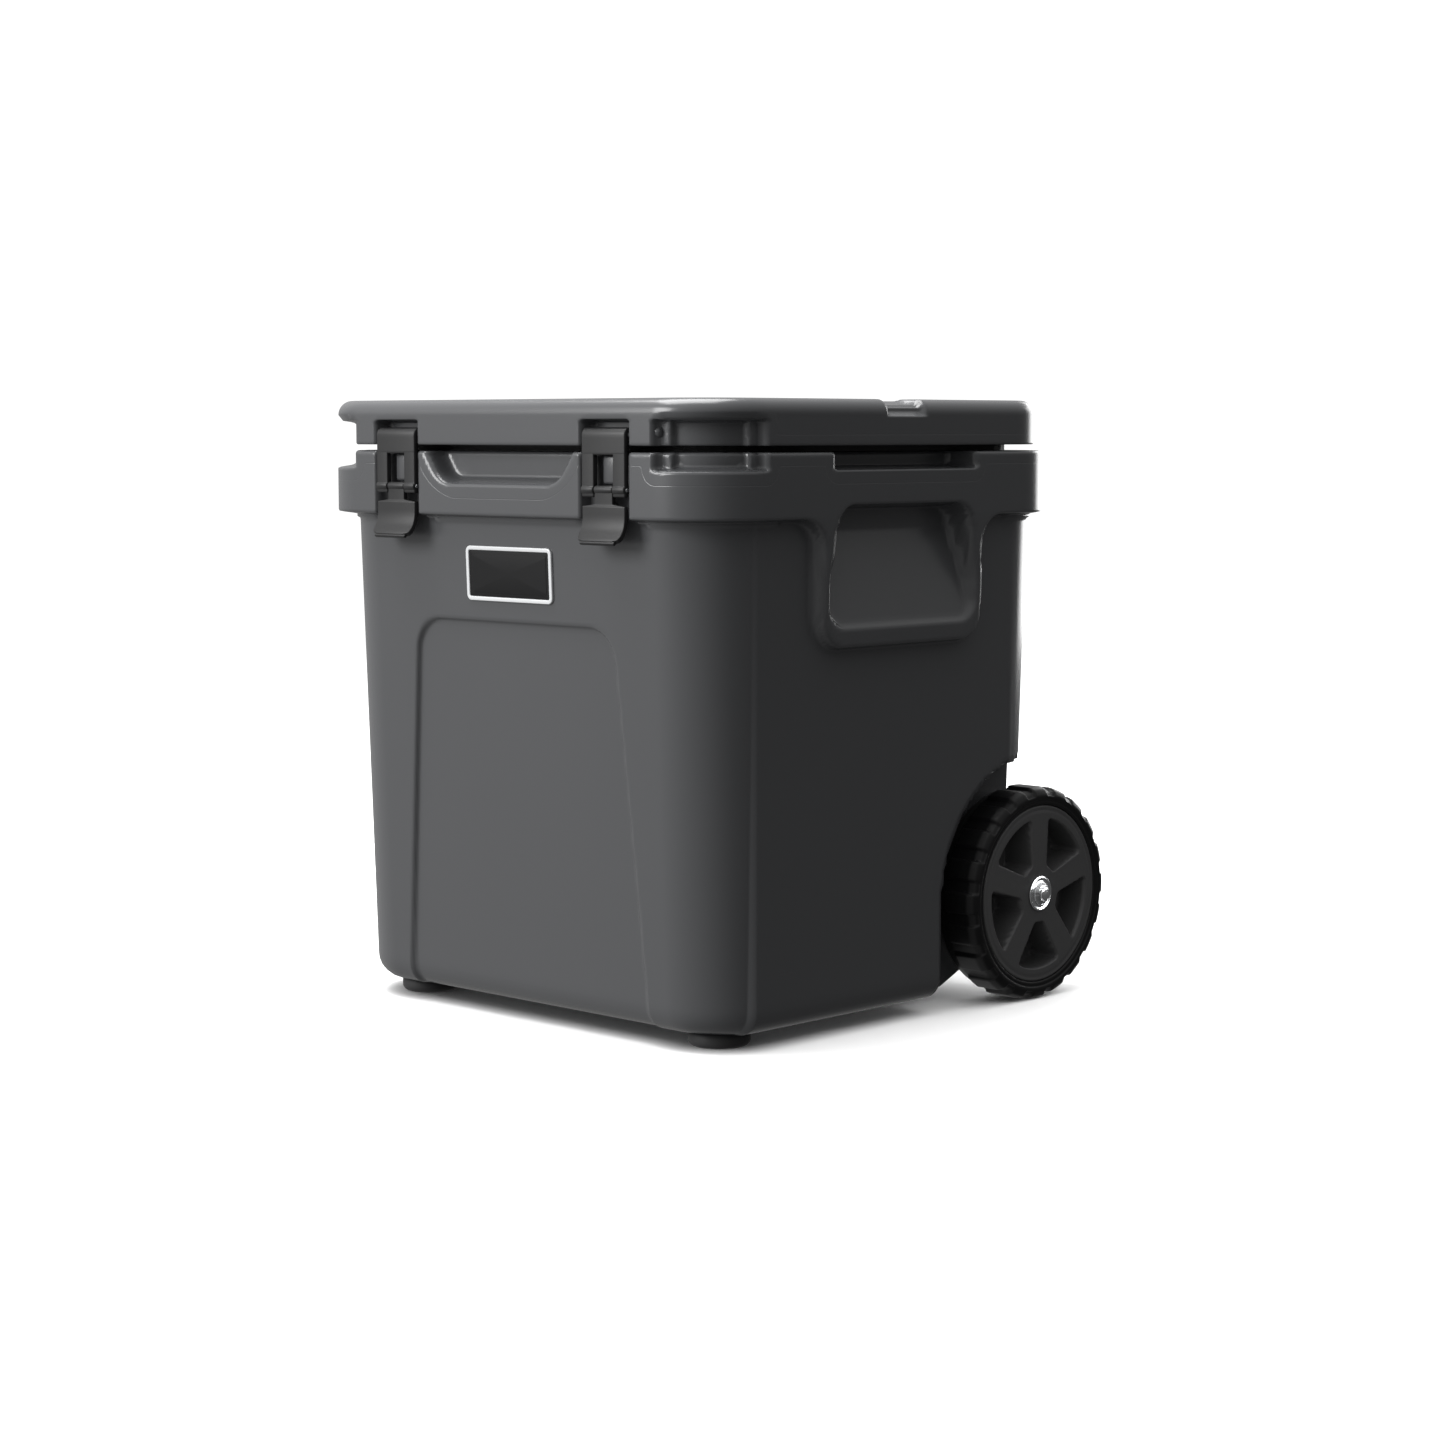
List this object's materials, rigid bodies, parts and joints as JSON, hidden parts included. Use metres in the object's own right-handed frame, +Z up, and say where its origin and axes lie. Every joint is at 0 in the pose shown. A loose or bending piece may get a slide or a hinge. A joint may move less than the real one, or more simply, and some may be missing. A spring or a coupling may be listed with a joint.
{
  "type": "wheeled cooler",
  "caption": "Hard-sided insulated cooler on wheels: moulded tub, hinged lid with strap latches, side hand pockets, telescopic rear handle, spoked wheels on a fixed axle.",
  "frame": {"origin": "on the ground, under the centre of the overall bounding box with everything closed and stowed", "axes": "+X to the right as seen from the front, +Y towards the back where the handle and wheels are, +Z up"},
  "size_m": [0.493, 0.5052, 0.511],
  "materials": {
    "charcoal_plastic": "moulded satin-gloss polyethylene",
    "black_plastic": "moulded matte",
    "liner_plastic": "smooth satin",
    "foam": "rigid closed-cell foam",
    "gasket_rubber": "matte",
    "tyre_rubber": "matte, lightly scuffed",
    "steel": "zinc plated",
    "bearing_steel": "polished",
    "tube_aluminium": "anodised satin",
    "badge_silver": "satin metallised",
    "badge_black": "gloss"
  },
  "bodies": {
    "cooler": {"body_shell": "charcoal_plastic", "insulation_foam": "foam", "inner_liner": "liner_plastic", "front_foot_left": "charcoal_plastic", "front_foot_right": "charcoal_plastic", "badge_frame": "badge_silver", "badge_insert": "badge_black", "drain_bushing": "black_plastic", "drain_gasket": "gasket_rubber", "axle": "steel", "axle_bush_left": "black_plastic", "axle_bush_right": "black_plastic", "wheel_push_nut_left": "steel", "wheel_push_nut_right": "steel", "hinge_body_leaf_left": "charcoal_plastic", "hinge_body_leaf_right": "charcoal_plastic", "hinge_pin_left": "steel", "hinge_pin_right": "steel", "handle_upper_bracket": "black_plastic", "handle_lower_bracket": "black_plastic", "handle_upper_screw": "steel", "handle_lower_screw": "steel", "handle_outer_tube_left": "tube_aluminium", "handle_outer_tube_right": "tube_aluminium"},
    "lid": {"lid_shell": "charcoal_plastic", "lid_foam": "foam", "lid_inner_panel": "liner_plastic", "lid_gasket": "gasket_rubber", "hinge_lid_leaf_left": "charcoal_plastic", "hinge_lid_leaf_right": "charcoal_plastic", "latch_strap_pin_left": "steel", "latch_strap_pin_right": "steel"},
    "strap_left": {"latch_strap_left": "black_plastic", "latch_cross_pin_left": "steel"},
    "strap_right": {"latch_strap_right": "black_plastic", "latch_cross_pin_right": "steel"},
    "lever_left": {"latch_lever_left": "black_plastic"},
    "lever_right": {"latch_lever_right": "black_plastic"},
    "handle_stage": {"handle_middle_tube_left": "tube_aluminium", "handle_middle_tube_right": "tube_aluminium", "handle_middle_yoke": "black_plastic"},
    "handle_grip": {"handle_inner_tube_left": "tube_aluminium", "handle_inner_tube_right": "tube_aluminium", "handle_grip": "black_plastic"},
    "release": {"release_button": "black_plastic", "release_yoke": "black_plastic", "release_rod_left": "steel", "release_rod_right": "steel"},
    "wheel_left": {"wheel_tyre_left": "tyre_rubber", "wheel_rim_left": "black_plastic", "wheel_bearing_left": "bearing_steel"},
    "wheel_right": {"wheel_tyre_right": "tyre_rubber", "wheel_rim_right": "black_plastic", "wheel_bearing_right": "bearing_steel"},
    "drain_plug": {"drain_plug": "black_plastic"}
  },
  "joints": [
    {"name": "lid_hinge", "type": "hinge", "parent": "cooler", "child": "lid", "pos_m": [0, 0.19245, 0.4725], "axis": [1, 0, 0], "range_deg": [-95, 0]},
    {"name": "strap_left_swing", "type": "hinge", "parent": "lid", "child": "strap_left", "pos_m": [-0.1243, -0.23855, 0.4825], "axis": [1, 0, 0], "range_deg": [-110, 0]},
    {"name": "lever_left_swing", "type": "hinge", "parent": "strap_left", "child": "lever_left", "pos_m": [-0.1243, -0.24205, 0.44], "axis": [1, 0, 0], "range_deg": [-100, 0]},
    {"name": "strap_right_swing", "type": "hinge", "parent": "lid", "child": "strap_right", "pos_m": [0.1243, -0.23855, 0.4825], "axis": [1, 0, 0], "range_deg": [-110, 0]},
    {"name": "lever_right_swing", "type": "hinge", "parent": "strap_right", "child": "lever_right", "pos_m": [0.1243, -0.24205, 0.44], "axis": [1, 0, 0], "range_deg": [-100, 0]},
    {"name": "handle_stage_slide", "type": "slide", "parent": "cooler", "child": "handle_stage", "axis": [0, 0, 1], "range_m": [0, 0.24]},
    {"name": "handle_grip_slide", "type": "slide", "parent": "handle_stage", "child": "handle_grip", "axis": [0, 0, 1], "range_m": [0, 0.24]},
    {"name": "release_press", "type": "slide", "parent": "handle_grip", "child": "release", "axis": [0, 0, -1], "range_m": [0, 0.003], "stiffness_N_per_m": 600, "springref_m": -0.004},
    {"name": "wheel_left_spin", "type": "hinge", "parent": "cooler", "child": "wheel_left", "pos_m": [-0.2175, 0.16105, 0.0915], "axis": [1, 0, 0], "continuous": true},
    {"name": "wheel_right_spin", "type": "hinge", "parent": "cooler", "child": "wheel_right", "pos_m": [0.2175, 0.16105, 0.0915], "axis": [1, 0, 0], "continuous": true},
    {"name": "drain_plug_turn", "type": "hinge", "parent": "cooler", "child": "drain_plug", "pos_m": [-0.227, -0.01695, 0.07], "axis": [-1, 0, 0], "range_deg": [0, 90]}
  ]
}
